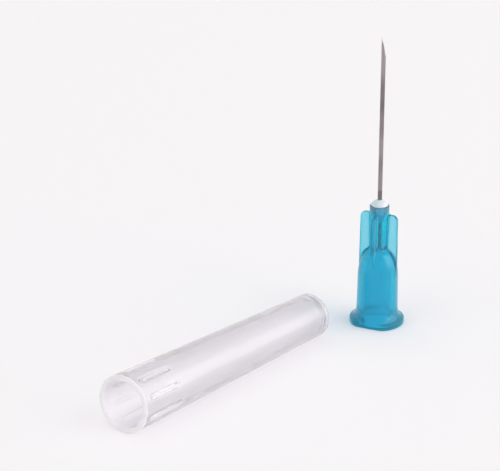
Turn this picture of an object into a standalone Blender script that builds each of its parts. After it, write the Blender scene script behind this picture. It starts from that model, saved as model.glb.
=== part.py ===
"""Hypodermic needle, 0.6 x 25 mm, standing on its hub, with its cap taken off and lying beside it.

Units are metres and +Z is up. The cap lies along X with its mouth towards -X. The origin is the
middle of the ground that the needle and the cap cover, on the table.
"""

import math

import bmesh
import bpy
from mathutils import Matrix, Vector

# Steel tube: how much of it shows, and how far it goes down into the hub's nose
TUBE_RADIUS = 0.00032
TUBE_BORE_RADIUS = 0.00017
EXPOSED_LENGTH = 0.025
INSERTED_LENGTH = 0.0064

# Ground point of the tube: one long bevel and two steeper side bevels
BEVEL_ANGLE = math.radians(11.0)
SIDE_BEVEL_ANGLE = math.radians(17.0)
SIDE_BEVEL_TURN = math.radians(38.0)
POINT_LAND = 0.000012
BEVEL_HEADING = math.radians(-54.0)

# Hub outside: body, shoulder and nose, with the heights measured from its base
HUB_HEIGHT = 0.018
BODY_RADIUS = 0.00289
BODY_FOOT_RADIUS = 0.00296
SHOULDER_HEIGHT = 0.0042
WAIST_RADIUS = 0.00123
COLLAR_RADIUS = 0.00142
COLLAR_HEIGHT = 0.0014
COLLAR_EDGE = 0.00008

# Lock lugs: a round flange at the base with a flat on either side
LUG_RADIUS = 0.0039
LUG_HALF_WIDTH = 0.00325
LUG_CORNER = 0.0007
LUG_RIM_HEIGHT = 0.0008
FLARE_HEIGHT = 0.0022
RIM_EDGE = 0.00012
HUB_HEADING = math.radians(-74.0)

# Hub inside: 6 percent taper socket, tunnel, guide hole and glue well
SOCKET_RADIUS = 0.002145
SOCKET_TAPER = 0.03
SOCKET_EDGE = 0.00022
SOCKET_DEPTH = 0.0076
SOCKET_ABOVE_SHOULDER_FOOT = 0.0006
ROOF_WALL = 0.0003
TUNNEL_RADIUS = 0.00055
GUIDE_LENGTH = 0.0013
WELL_DEPTH = 0.0025
WELL_RADIUS = 0.0011

# Hub fins, one pair in line with the lugs
FIN_COUNT = 4
FIN_THICKNESS = 0.0005
FIN_TOP_DROP = 0.0012
FIN_DRAFT = 0.00009
FIN_CORNER = 0.0008
FIN_ROOT_DEPTH = 0.0003
FIN_EDGE_ROUND = 0.00012

# Glue bead
BEAD_RADIUS = 0.00122
BEAD_HEIGHT = 0.0009
BEAD_EDGE_HEIGHT = 0.00016
BEAD_NECK_RADIUS = 0.0005

# Clearances between pieces
TUBE_CLEARANCE = 0.000025
GLUE_GAP = 0.00003
CAP_GRIP_CLEARANCE = 0.00004

# Cap
CAP_LENGTH = 0.043
CAP_MOUTH_RADIUS = 0.00425
CAP_END_RADIUS = 0.00315
CAP_WALL = 0.0008
CAP_LEAD_IN = 0.00025
CAP_MOUTH_EDGE = 0.0002
CAP_END_THICKNESS = 0.0011
CAP_END_ROUND = 0.0006
CAP_RECESS_RADIUS = 0.0019
CAP_RECESS_DEPTH = 0.0003
CAP_GATE_RADIUS = 0.00035
CAP_GATE_HEIGHT = 0.00018

# Grip ribs inside the cap's mouth, which close on the hub's body
RIB_COUNT = 8
RIB_THICKNESS = 0.0005
RIB_FOOT = 0.0014
RIB_TOP = 0.0088
RIB_RAMP = 0.0009

# Where the cap lies, measured from the needle's axis
CAP_END_DISTANCE = 0.0096
CAP_SIDE_OFFSET = 0.0042

# Facets
HUB_SIDES = 48
CAP_SIDES = 48
BEAD_SIDES = 32
TUBE_SIDES = 32
ARC_STEPS = 6
LUG_ARC_STEPS = 24
SHARP_ANGLE = math.radians(32.0)
WELD_DISTANCE = 0.000001
CUTTER_SIZE = 0.012


def clear_scene():
    """Remove whatever the file opened with."""
    for obj in list(bpy.data.objects):
        bpy.data.objects.remove(obj, do_unlink=True)


def new_collection(name):
    """Add an empty collection to the scene."""
    collection = bpy.data.collections.new(name)
    bpy.context.scene.collection.children.link(collection)
    return collection


def plain_material(name, color, roughness, metallic=0.0, transmission=0.0):
    """One Principled finish for a piece."""
    material = bpy.data.materials.new(name)
    material.use_nodes = True
    shader = material.node_tree.nodes["Principled BSDF"]
    shader.inputs["Base Color"].default_value = (*color, 1.0)
    shader.inputs["Roughness"].default_value = roughness
    shader.inputs["Metallic"].default_value = metallic
    shader.inputs["Transmission Weight"].default_value = transmission
    material.diffuse_color = (*color, 1.0)
    return material


def arc(center, radii, start, end, steps=ARC_STEPS):
    """Points of an elliptical arc in the (radius, height) plane, from the start to the end angle."""
    points = []
    for step in range(steps + 1):
        angle = start + (end - start) * step / steps
        across = center[0] + radii[0] * math.cos(angle)
        points.append((across, center[1] + radii[1] * math.sin(angle)))
    return points


def turned(name, profile, sides, collection, closed=True):
    """Turn a (radius, height) profile once round Z. It runs down the outside and up the inside."""
    mesh = bpy.data.meshes.new(name)
    outline = bmesh.new()
    points = [outline.verts.new((radius, 0.0, height)) for radius, height in profile]
    for first, second in zip(points, points[1:]):
        outline.edges.new((first, second))
    if closed:
        outline.edges.new((points[-1], points[0]))
    outline.to_mesh(mesh)
    outline.free()
    piece = bpy.data.objects.new(name, mesh)
    collection.objects.link(piece)
    screw = piece.modifiers.new("turn", "SCREW")
    screw.axis = "Z"
    screw.angle = math.tau
    screw.steps = sides
    screw.render_steps = sides
    screw.use_merge_vertices = True
    screw.merge_threshold = WELD_DISTANCE
    return piece


def plate(name, outline, thickness, heading, collection, edge_round=0.0):
    """A flat web in the plane through Z at the given heading, from its (radius, height) outline."""
    mesh = bpy.data.meshes.new(name)
    sheet = bmesh.new()
    sheet.faces.new([sheet.verts.new((radius, 0.0, height)) for radius, height in outline])
    sheet.to_mesh(mesh)
    sheet.free()
    web = bpy.data.objects.new(name, mesh)
    collection.objects.link(web)
    web.rotation_euler.z = heading
    solidify = web.modifiers.new("thickness", "SOLIDIFY")
    solidify.thickness = thickness
    solidify.offset = 0.0
    if edge_round:
        bevel = web.modifiers.new("round edges", "BEVEL")
        bevel.width = edge_round
        bevel.segments = 2
        bevel.limit_method = "ANGLE"
        bevel.angle_limit = math.radians(60.0)
    hide_helper(web)
    return web


def prism(name, outline, height, collection):
    """A solid with the given (x, y) outline, from below the table to the height."""
    mesh = bpy.data.meshes.new(name)
    block = bmesh.new()
    base = block.faces.new([block.verts.new((across, along, height)) for across, along in outline])
    grown = bmesh.ops.extrude_face_region(block, geom=[base])
    lower = [item for item in grown["geom"] if isinstance(item, bmesh.types.BMVert)]
    bmesh.ops.translate(block, verts=lower, vec=(0.0, 0.0, -2 * height))
    bmesh.ops.recalc_face_normals(block, faces=block.faces)
    block.to_mesh(mesh)
    block.free()
    solid = bpy.data.objects.new(name, mesh)
    collection.objects.link(solid)
    hide_helper(solid)
    return solid


def half_space(name, point, normal, collection):
    """A block whose one face passes through the point and whose bulk lies along the normal."""
    mesh = bpy.data.meshes.new(name)
    block = bmesh.new()
    bmesh.ops.create_cube(block, size=CUTTER_SIZE)
    bmesh.ops.translate(block, verts=block.verts, vec=(0.0, 0.0, CUTTER_SIZE / 2))
    block.to_mesh(mesh)
    block.free()
    cutter = bpy.data.objects.new(name, mesh)
    collection.objects.link(cutter)
    turn = normal.to_track_quat("Z", "X").to_matrix().to_4x4()
    cutter.matrix_world = Matrix.Translation(point) @ turn
    hide_helper(cutter)
    return cutter


def hide_helper(helper):
    """Keep a cutter or a web out of the model and show it as wire."""
    helper.hide_render = True
    helper.display_type = "WIRE"


def combine(piece, helper, operation):
    """Cut the helper from the piece, or join it on."""
    boolean = piece.modifiers.new(helper.name, "BOOLEAN")
    boolean.object = helper
    boolean.operation = operation
    boolean.solver = "EXACT"


def settle(piece, material):
    """Make the piece one mesh, smooth with sharp edges, in its own material."""
    bpy.context.view_layer.update()
    evaluated = piece.evaluated_get(bpy.context.evaluated_depsgraph_get())
    mesh = bpy.data.meshes.new_from_object(evaluated)
    piece.modifiers.clear()
    piece.data = mesh
    mesh.name = piece.name
    mesh.shade_smooth()
    mesh.set_sharp_from_angle(angle=SHARP_ANGLE)
    mesh.materials.clear()
    mesh.materials.append(material)


def shoulder_foot():
    """Height at which the body starts to round in, a little below the socket's full depth."""
    return SOCKET_DEPTH - SOCKET_ABOVE_SHOULDER_FOOT


def shoulder_top():
    """Height at which the shoulder meets the nose."""
    return shoulder_foot() + SHOULDER_HEIGHT


def fin_top():
    """Height of the fins' top edge."""
    return HUB_HEIGHT - FIN_TOP_DROP


def well_foot():
    """Height at which the glue well narrows to the guide hole."""
    return HUB_HEIGHT - WELL_DEPTH


def tip_height():
    """Height of the needle's point above the hub's base."""
    return HUB_HEIGHT + GLUE_GAP + BEAD_HEIGHT + EXPOSED_LENGTH


def make_cannula(parts, helpers):
    """Steel tube from inside the hub to the point, with the three ground facets."""
    tip = tip_height()
    foot = HUB_HEIGHT - INSERTED_LENGTH
    profile = [
        (TUBE_RADIUS, tip),
        (TUBE_RADIUS, foot),
        (TUBE_BORE_RADIUS, foot),
        (TUBE_BORE_RADIUS, tip),
    ]
    cannula = turned("cannula", profile, TUBE_SIDES, parts)
    point = Vector((POINT_LAND - TUBE_RADIUS, 0.0, tip))
    facets = (
        ("bevel", 0.0, BEVEL_ANGLE),
        ("side_bevel_left", SIDE_BEVEL_TURN, SIDE_BEVEL_ANGLE),
        ("side_bevel_right", -SIDE_BEVEL_TURN, SIDE_BEVEL_ANGLE),
    )
    for name, turn, angle in facets:
        normal = Vector((math.cos(angle), 0.0, math.sin(angle)))
        normal.rotate(Matrix.Rotation(turn, 3, "Z"))
        combine(cannula, half_space(name, point, normal, helpers), "DIFFERENCE")
    settle(cannula, plain_material("steel", (0.58, 0.57, 0.56), 0.28, metallic=1.0))
    cannula.rotation_euler.z = BEVEL_HEADING
    return cannula


def hub_outside():
    """The hub's outer profile, from the nose down to the base."""
    nose_side = [
        (COLLAR_RADIUS - COLLAR_EDGE, HUB_HEIGHT),
        (COLLAR_RADIUS, HUB_HEIGHT - COLLAR_EDGE),
        (COLLAR_RADIUS, HUB_HEIGHT - COLLAR_HEIGHT),
        (WAIST_RADIUS, shoulder_top()),
    ]
    swell = (BODY_RADIUS - WAIST_RADIUS, SHOULDER_HEIGHT)
    shoulder = arc((WAIST_RADIUS, shoulder_foot()), swell, math.pi / 2, 0.0)[1:]
    spread = (LUG_RADIUS - BODY_FOOT_RADIUS, FLARE_HEIGHT - LUG_RIM_HEIGHT)
    flare = arc((LUG_RADIUS, FLARE_HEIGHT), spread, math.pi, 1.5 * math.pi)
    rim = [(LUG_RADIUS, RIM_EDGE), (LUG_RADIUS - RIM_EDGE, 0.0)]
    return nose_side + shoulder + flare + rim


def well_radius(height):
    """Radius of the funnel that holds the glue, at a height inside the nose."""
    guide_radius = TUBE_RADIUS + TUBE_CLEARANCE
    share = (height - well_foot()) / WELL_DEPTH
    return guide_radius + (WELL_RADIUS - guide_radius) * share


def hub_inside():
    """The hub's inner profile, from the socket's mouth up to the rim of the glue well."""
    guide_radius = TUBE_RADIUS + TUBE_CLEARANCE
    socket_end = SOCKET_RADIUS - SOCKET_TAPER * SOCKET_DEPTH
    dome = (socket_end - TUNNEL_RADIUS, shoulder_top() - ROOF_WALL - SOCKET_DEPTH)
    guide_foot = well_foot() - GUIDE_LENGTH
    step = TUNNEL_RADIUS - guide_radius
    return [
        (SOCKET_RADIUS + SOCKET_EDGE, 0.0),
        (SOCKET_RADIUS - SOCKET_TAPER * SOCKET_EDGE, SOCKET_EDGE),
        *arc((TUNNEL_RADIUS, SOCKET_DEPTH), dome, 0.0, math.pi / 2),
        (TUNNEL_RADIUS, guide_foot - step),
        (guide_radius, guide_foot),
        (guide_radius, well_foot()),
        (WELL_RADIUS, HUB_HEIGHT),
    ]


def fin_outline():
    """A fin fills the corner between nose and body. Its root lies inside the hub's wall."""
    root_radius = WAIST_RADIUS - FIN_ROOT_DEPTH
    foot_height = shoulder_foot() + FIN_ROOT_DEPTH
    corner = (BODY_RADIUS - FIN_DRAFT - FIN_CORNER, fin_top() - FIN_CORNER)
    return [
        (root_radius, shoulder_top() - FIN_ROOT_DEPTH),
        (BODY_RADIUS - FIN_ROOT_DEPTH, foot_height),
        (BODY_RADIUS, foot_height),
        *arc(corner, (FIN_CORNER, FIN_CORNER), 0.0, math.pi / 2),
        (root_radius, fin_top()),
    ]


def lug_outline():
    """Outline of the base flange: two arcs, two flats, and a round where each flat ends."""
    outer = LUG_RADIUS + RIM_EDGE
    reach = math.sqrt((outer - LUG_CORNER) ** 2 - (LUG_HALF_WIDTH - LUG_CORNER) ** 2)
    meet = math.atan2(LUG_HALF_WIDTH - LUG_CORNER, reach)
    corner = (LUG_CORNER, LUG_CORNER)
    half = [
        *arc((0.0, 0.0), (outer, outer), -meet, meet, LUG_ARC_STEPS),
        *arc((reach, LUG_HALF_WIDTH - LUG_CORNER), corner, meet, math.pi / 2)[1:],
        *arc((-reach, LUG_HALF_WIDTH - LUG_CORNER), corner, math.pi / 2, math.pi - meet)[:-1],
    ]
    return half + [(-across, -along) for across, along in half]


def make_hub(parts, helpers):
    """The moulded hub: turned form, four fins, and two flats that leave the lock lugs."""
    hub = turned("hub", hub_outside() + hub_inside(), HUB_SIDES, parts)
    combine(hub, prism("lug_outline", lug_outline(), 2 * HUB_HEIGHT, helpers), "INTERSECT")
    for index in range(FIN_COUNT):
        name = f"fin_{index + 1}"
        heading = math.tau * index / FIN_COUNT
        web = plate(name, fin_outline(), FIN_THICKNESS, heading, helpers, FIN_EDGE_ROUND)
        combine(hub, web, "UNION")
    color = (0.03, 0.33, 0.53)
    settle(hub, plain_material("tinted_plastic", color, 0.22, transmission=0.6))
    hub.rotation_euler.z = HUB_HEADING
    return hub


def make_adhesive_bead(parts):
    """The set glue that fills the well and rises in a low dome round the tube."""
    hole_radius = TUBE_RADIUS + TUBE_CLEARANCE
    seat = HUB_HEIGHT + GLUE_GAP
    crown = seat + BEAD_HEIGHT
    foot = well_foot() + GLUE_GAP
    slope = (BEAD_RADIUS - BEAD_NECK_RADIUS, BEAD_HEIGHT - BEAD_EDGE_HEIGHT)
    profile = [
        (hole_radius, crown),
        *arc((BEAD_NECK_RADIUS, seat + BEAD_EDGE_HEIGHT), slope, math.pi / 2, 0.0),
        (BEAD_RADIUS, seat),
        (well_radius(HUB_HEIGHT) - GLUE_GAP, seat),
        (well_radius(foot + GLUE_GAP) - GLUE_GAP, foot + GLUE_GAP),
        (hole_radius, foot + GLUE_GAP),
    ]
    bead = turned("adhesive_bead", profile, BEAD_SIDES, parts)
    settle(bead, plain_material("set_glue", (0.85, 0.88, 0.9), 0.3))
    return bead


def cap_taper():
    """How much the cap's radius falls for each metre of its length."""
    return (CAP_MOUTH_RADIUS - CAP_END_RADIUS) / CAP_LENGTH


def cap_radius(distance):
    """Outer radius of the cap at a distance from its mouth."""
    return CAP_MOUTH_RADIUS - cap_taper() * distance


def cap_profile():
    """Closed end with its recess and gate mark, down the outside, over the mouth and up the bore."""
    floor = CAP_LENGTH - CAP_RECESS_DEPTH
    round_foot = CAP_LENGTH - CAP_END_ROUND
    round_center = (cap_radius(round_foot) - CAP_END_ROUND, round_foot)
    bore_end = CAP_LENGTH - CAP_END_THICKNESS
    bore_round = CAP_END_ROUND
    bore_radius = cap_radius(bore_end) - CAP_WALL
    bore_center = (bore_radius - bore_round, bore_end - bore_round)
    return [
        (0.0, floor + CAP_GATE_HEIGHT),
        (CAP_GATE_RADIUS, floor + CAP_GATE_HEIGHT),
        (CAP_GATE_RADIUS, floor),
        (CAP_RECESS_RADIUS, floor),
        (CAP_RECESS_RADIUS + CAP_RECESS_DEPTH / 2, CAP_LENGTH),
        *arc(round_center, (CAP_END_ROUND, CAP_END_ROUND), math.pi / 2, 0.0, 4),
        (cap_radius(CAP_MOUTH_EDGE), CAP_MOUTH_EDGE),
        (CAP_MOUTH_RADIUS - CAP_MOUTH_EDGE, 0.0),
        (CAP_MOUTH_RADIUS - CAP_WALL + CAP_LEAD_IN, 0.0),
        (cap_radius(CAP_LEAD_IN) - CAP_WALL, CAP_LEAD_IN),
        *arc(bore_center, (bore_round, bore_round), 0.0, math.pi / 2, 4),
        (0.0, bore_end),
    ]


def rib_outline():
    """A grip rib, with a ramp at each end, rooted in the middle of the cap's wall."""
    crest = BODY_RADIUS + CAP_GRIP_CLEARANCE
    foot_bore = cap_radius(RIB_FOOT) - CAP_WALL
    top_bore = cap_radius(RIB_TOP) - CAP_WALL
    return [
        (foot_bore + CAP_WALL / 2, RIB_FOOT),
        (foot_bore, RIB_FOOT),
        (crest, RIB_FOOT + RIB_RAMP),
        (crest, RIB_TOP - RIB_RAMP),
        (top_bore, RIB_TOP),
        (top_bore + CAP_WALL / 2, RIB_TOP),
    ]


def make_cap(parts, helpers):
    """The clear tapered cap, lying on its side with its whole length on the table."""
    cap = turned("cap", cap_profile(), CAP_SIDES, parts, closed=False)
    for index in range(RIB_COUNT):
        heading = math.tau * (index + 0.5) / RIB_COUNT
        web = plate(f"grip_rib_{index + 1}", rib_outline(), RIB_THICKNESS, heading, helpers)
        combine(cap, web, "UNION")
    color = (0.9, 0.92, 0.94)
    settle(cap, plain_material("clear_plastic", color, 0.12, transmission=0.9))
    dip = math.atan(cap_taper())
    mouth_distance = CAP_END_DISTANCE + CAP_LENGTH * math.cos(dip)
    cap.rotation_euler.y = math.pi / 2 + dip
    cap.location = (-mouth_distance, CAP_SIDE_OFFSET, CAP_MOUTH_RADIUS * math.cos(dip))
    return cap


def center_on_ground(pieces):
    """Move the pieces together so that the ground they cover has its middle at the origin."""
    bpy.context.view_layer.update()
    corners = [piece.matrix_world @ vertex.co for piece in pieces for vertex in piece.data.vertices]
    middle = Vector((0.0, 0.0, 0.0))
    for axis in (0, 1):
        reach = [corner[axis] for corner in corners]
        middle[axis] = (min(reach) + max(reach)) / 2
    layout = bpy.data.objects.new("layout", None)
    pieces[0].users_collection[0].objects.link(layout)
    for piece in pieces:
        piece.parent = layout
    layout.location = -middle


def main():
    """Model the four pieces and lay them out."""
    clear_scene()
    parts = new_collection("hypodermic_needle")
    helpers = new_collection("cutters")
    pieces = [
        make_cannula(parts, helpers),
        make_hub(parts, helpers),
        make_adhesive_bead(parts),
        make_cap(parts, helpers),
    ]
    center_on_ground(pieces)


main()
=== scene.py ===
"""Looks of a hypodermic needle that stands on its hub, with its cap lying beside it.

The file is laid out as a Blender add-on and is run as a script. Units are metres, +Z is up, and
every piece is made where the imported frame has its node.
"""

import math

import bpy
import numpy as np
from mathutils import Matrix, Vector


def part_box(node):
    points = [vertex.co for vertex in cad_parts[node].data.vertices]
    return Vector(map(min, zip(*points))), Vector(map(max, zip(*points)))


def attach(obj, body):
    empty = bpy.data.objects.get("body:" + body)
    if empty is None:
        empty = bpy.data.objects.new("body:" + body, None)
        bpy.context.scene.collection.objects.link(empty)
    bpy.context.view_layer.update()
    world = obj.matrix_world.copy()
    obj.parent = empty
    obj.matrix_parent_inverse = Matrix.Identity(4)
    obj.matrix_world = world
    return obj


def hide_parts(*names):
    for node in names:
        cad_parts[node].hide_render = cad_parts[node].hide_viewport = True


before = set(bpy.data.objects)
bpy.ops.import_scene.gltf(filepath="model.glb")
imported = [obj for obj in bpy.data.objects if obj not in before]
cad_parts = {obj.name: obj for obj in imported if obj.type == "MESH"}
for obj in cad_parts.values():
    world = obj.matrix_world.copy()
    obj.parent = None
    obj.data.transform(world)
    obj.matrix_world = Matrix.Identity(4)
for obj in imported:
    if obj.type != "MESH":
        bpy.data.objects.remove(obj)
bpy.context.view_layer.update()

bl_info = {
    "name": "Hypodermic Needle",
    "version": (1, 0, 0),
    "blender": (4, 5, 0),
    "location": "View3D > Sidebar > Needle",
    "description": "Models and finishes a hypodermic needle with its hub, glue and cap",
    "category": "Object",
}

BODY = "root"
MILLIMETRE = 0.001
MICRON = 0.000001

# Where the needle stands, read from the frame
TUBE_LOW, TUBE_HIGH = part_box("cannula")
HUB_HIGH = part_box("hub")[1]
NEEDLE_AXIS = Vector(((TUBE_LOW.x + TUBE_HIGH.x) / 2, (TUBE_LOW.y + TUBE_HIGH.y) / 2, 0.0))

# Points of a ring: for half a repeat of the hub's fins and the cap's ribs, or for the whole ring
HUB_HALF_STEPS = 32
CAP_HALF_STEPS = 17
TUBE_SIDES = 128
BEAD_SIDES = 128

# Spacing of a ring's points at the middle of a fin or rib, as a share of even spacing
NEAR_SHARE = 0.32

# Halvings in the search for the hub's outer face
BISECTIONS = 34

# Rings down the tube's outside and up its bore, and bands across its ground facets
TUBE_WALL_RINGS = 24
TUBE_BORE_RINGS = 5
FACET_BANDS = 5

# Width in radii that the bevel is taken to cut, which is 2 and a little to spare
BEVEL_REACH = 2.2

# Edges that start less than this many chamfers above the tube's foot stay sharp
FOOT_EDGES = 1.5

# Step below the hub's collar, with how far its round reaches above and below the collar's foot
COLLAR_STEP = 0.04 * MILLIMETRE
STEP_ABOVE = 0.2 * MILLIMETRE
STEP_BELOW = 0.25 * MILLIMETRE

# Angles in degrees at which the hub's shoulder leaves the nose, its flare meets the rim, its
# socket's roof meets the tunnel and a fin's corner leaves the top edge
SHOULDER_START = 14.0
FLARE_END = 82.0
ROOF_END = 84.0
FIN_CORNER_START = 84.0

# Length of the round between the socket's roof and the tunnel
TUNNEL_ROUND = 0.15 * MILLIMETRE

# Rows down a fin's hollow round, along its top edge and round its corner
FIN_FILLET_ROWS = 6
FIN_TOP_ROWS = 6
FIN_CORNER_ROWS = 15

# Fall of a fin's top edge towards its corner, and how thick that edge starts, as a share
FIN_FALL = 10 * MICRON
FIN_ROOT_SHARE = 0.3

# Walls of the hub's plastic that read deepest and palest, how pale the fins read, and the width of
# their deeper edge
FULL_WALL = 0.8 * MILLIMETRE
THIN_WALL = 0.3 * MILLIMETRE
FIN_THINNESS = 0.66
FIN_MARGIN = 0.25 * MILLIMETRE

# Round of the glue at the tube: its width and how far down its creep the curve leans
CREEP_ROUND = 0.05 * MILLIMETRE
CREEP_LEAN = 0.75

# Width of the glue's lip under its upright edge, as a share of that edge
LIP_SHARE = 0.7

# Waves round the glue dome, as (times round, strength, turn), and how far they move it in and down
DOME_WAVES = ((2, 1.0, 0.6), (3, 0.6, 2.1), (5, 0.3, 0.0))
DOME_INWARD = 0.3
DOME_DOWNWARD = 0.5

# Bands of the round outside the cap's mouth, and of the lead-in inside it
CAP_RIM_STEPS = 5

# Small rounds of the cap's gate mark, recess and lead-in
CAP_ROUND = 0.06 * MILLIMETRE
LEAD_ROUND = 0.04 * MILLIMETRE

# Radius of the ring round the cap's middle point, outside and inside its closed end
GATE_MIDDLE = 0.1 * MILLIMETRE
END_MIDDLE = 0.4 * MILLIMETRE

# Scale of a material's coordinates as they are, and with the cap's flow marks drawn out along it
NO_STRETCH = (1.0, 1.0, 1.0)
FLOW_STRETCH = (0.16, 1.0, 1.0)

# How far the painted reflections, the steel's darker stretches, are moved along it, how far above the
# glue the painted shade reaches, and the length over which that painted shade fades
PAINTED_REFLECTION_SHIFT = -0.6
PAINTED_SHADE_HEIGHT = 1.4 * MILLIMETRE
PAINTED_SHADE_FADE = 0.2 * MILLIMETRE

# Share of the floor's colour in the hollows of its tooth
FLOOR_TOOTH = 0.985

# Rise of a view at which the surroundings start to turn darker overhead
SKY_START = 0.15

# Height that the lamps aim at
LAMP_AIM = 12 * MILLIMETRE

# Width of the camera's sensor in millimetres, and the distance at which its view starts
SENSOR_WIDTH = 36.0
CLIP_START = 10 * MILLIMETRE

# Angles above which an edge is shaded sharp
SHARP_MOULDED = math.radians(38.0)
SHARP_GROUND = math.radians(4.0)


def length(name, default, description):
    """A size that a user can change."""
    return bpy.props.FloatProperty(
        name=name, description=description, default=default, min=0.0, precision=6, unit="LENGTH"
    )


def angle(name, degrees, description):
    """An angle that a user can change."""
    return bpy.props.FloatProperty(
        name=name, description=description, default=math.radians(degrees), subtype="ANGLE"
    )


def share(name, default, description):
    """A value from 0 to 1 that a user can change."""
    return bpy.props.FloatProperty(
        name=name, description=description, default=default, min=0.0, max=1.0, subtype="FACTOR"
    )


def amount(name, default, description):
    """A plain number that a user can change."""
    return bpy.props.FloatProperty(name=name, description=description, default=default, min=0.0)


def color(name, default, description):
    """A linear colour that a user can change."""
    return bpy.props.FloatVectorProperty(
        name=name, description=description, default=default, size=3, min=0.0, max=1.0, subtype="COLOR"
    )


class TubeSettings(bpy.types.PropertyGroup):
    """Steel tube and its ground point."""

    radius: length("Radius", 0.00032, "Outer radius of the tube")
    bore_radius: length("Bore Radius", 0.00017, "Radius of the bore")
    tip: length("Tip Height", TUBE_HIGH.z, "Height of the point above the table")
    foot: length("Foot Height", TUBE_LOW.z, "Height of the end inside the hub")
    bevel: angle("Bevel", 11.0, "Angle of the long bevel to the tube")
    side_bevel: angle("Side Bevel", 17.0, "Angle of the two side bevels to the tube")
    side_turn: angle("Side Turn", 38.0, "How far the side bevels are turned from the long one")
    land: length("Point Land", 0.000012, "Metal left beyond the point where the bevels meet")
    heading: angle("Heading", -54.0, "Direction that the bevel faces")
    foot_edge: length("Foot Edge", 0.00003, "Chamfer of the end inside the hub")


class HubSettings(bpy.types.PropertyGroup):
    """Moulded hub."""

    height: length("Height", HUB_HIGH.z, "Height of the nose above the table")
    heading: angle("Heading", -74.0, "Direction of the lock lugs")
    body_radius: length("Body Radius", 0.00289, "Radius at the foot of the shoulder")
    foot_radius: length("Body Foot Radius", 0.00296, "Radius above the flange")
    waist_radius: length("Waist Radius", 0.00123, "Radius of the nose above the shoulder")
    collar_radius: length("Collar Radius", 0.00142, "Radius of the nose at its top")
    collar_height: length("Collar Height", 0.0014, "Height of the collar")
    collar_edge: length("Collar Edge", 0.00008, "Round at the top of the collar")
    shoulder_height: length("Shoulder Height", 0.0042, "Height of the rounded shoulder")
    waist_fillet: length("Waist Fillet", 0.0004, "Length of the hollow round at the nose's foot")
    lug_radius: length("Lug Radius", 0.0039, "Radius of the lock lugs")
    lug_half_width: length("Lug Half Width", 0.00325, "Distance of the flats from the axis")
    lug_corner: length("Lug Corner", 0.0002, "Round where a flat meets a lug")
    rim_height: length("Rim Height", 0.0008, "Height of the lugs' upright rim")
    flare_height: length("Flare Height", 0.0022, "Height at which the body starts to flare")
    rim_round: length("Rim Round", 0.00014, "Round of the rim's edges")
    socket_radius: length("Socket Radius", 0.002145, "Radius of the socket at its mouth")
    socket_taper: amount("Socket Taper", 0.03, "Fall of the socket's radius with its depth")
    socket_edge: length("Socket Edge", 0.00022, "Round of the socket's mouth")
    socket_depth: length("Socket Depth", 0.0076, "Depth of the socket")
    above_foot: length("Socket Above Shoulder", 0.0006, "Socket's end above the shoulder's foot")
    roof_wall: length("Roof Wall", 0.0003, "Wall over the socket's roof")
    tunnel_radius: length("Tunnel Radius", 0.00055, "Radius of the tunnel through the nose")
    guide_radius: length("Guide Radius", 0.000345, "Radius of the hole that centres the tube")
    guide_length: length("Guide Length", 0.0013, "Length of the guide hole")
    well_depth: length("Well Depth", 0.0025, "Depth of the funnel that holds the glue")
    well_radius: length("Well Radius", 0.0011, "Radius of the funnel at its rim")
    fin_half: length("Fin Half Thickness", 0.00025, "Half the thickness of a fin")
    fin_drop: length("Fin Drop", 0.0012, "Fins' top edge below the nose's top")
    fin_draft: length("Fin Draft", 0.00009, "How much a fin narrows towards its top")
    fin_corner: length("Fin Corner", 0.0008, "Round of a fin's top corner")
    fin_edge: length("Fin Edge", 0.00011, "Round of a fin's long edges")
    fin_fillet: length("Fin Fillet", 0.00022, "Hollow round where a fin meets the nose")


class BeadSettings(bpy.types.PropertyGroup):
    """Set glue in and on the nose."""

    radius: length("Radius", 0.00122, "Radius of the dome")
    height: length("Height", 0.0009, "Height of the dome")
    edge_height: length("Edge Height", 0.00016, "Height of the dome's upright edge")
    gap: length("Gap", 0.00003, "Gap to the hub")
    tube_gap: length("Tube Gap", 0.000006, "Gap to the tube")
    creep: length("Creep", 0.00016, "How far the glue creeps up the tube")
    creep_share: share("Creep Share", 0.3, "Share of the dome's width over which the glue creeps up")
    fullness: share("Fullness", 0.3, "How far the dome swells from a straight slope")
    unevenness: share("Unevenness", 0.035, "How far the dome departs from a true round")


class CapSettings(bpy.types.PropertyGroup):
    """Clear cap."""

    length: length("Length", 0.043, "Length of the cap")
    mouth_radius: length("Mouth Radius", 0.00425, "Outer radius at the mouth")
    end_radius: length("End Radius", 0.00315, "Outer radius at the closed end")
    wall: length("Wall", 0.0008, "Thickness of the wall")
    lead_in: length("Lead In", 0.00025, "Chamfer inside the mouth")
    mouth_edge: length("Mouth Edge", 0.0002, "Round outside the mouth")
    end_thickness: length("End Thickness", 0.0011, "Thickness of the closed end")
    end_round: length("End Round", 0.0006, "Round of the closed end")
    recess_radius: length("Recess Radius", 0.0019, "Radius of the recess in the closed end")
    recess_depth: length("Recess Depth", 0.0003, "Depth of the recess")
    gate_radius: length("Gate Radius", 0.00035, "Radius of the gate mark")
    gate_height: length("Gate Height", 0.00018, "Height of the gate mark")
    ribs: bpy.props.IntProperty(name="Ribs", description="Grip ribs in the mouth", default=8, min=1)
    rib_half: length("Rib Half Thickness", 0.00025, "Half the thickness of a grip rib")
    rib_crest: length("Rib Crest", 0.00293, "Distance of the ribs' crests from the axis")
    rib_foot: length("Rib Foot", 0.0014, "Distance of the ribs from the mouth")
    rib_top: length("Rib Top", 0.0088, "Distance of the ribs' far ends from the mouth")
    rib_ramp: length("Rib Ramp", 0.0013, "Length of the ramp at each end of a rib")
    rib_softness: share("Rib Softness", 0.9, "How far a rib's flanks ease out, of its half thickness")
    end_distance: length("End Distance", 0.0096, "Distance of the closed end from the needle's axis")
    side_offset: length("Side Offset", 0.0042, "How far the cap lies to the side of the needle's axis")


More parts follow.
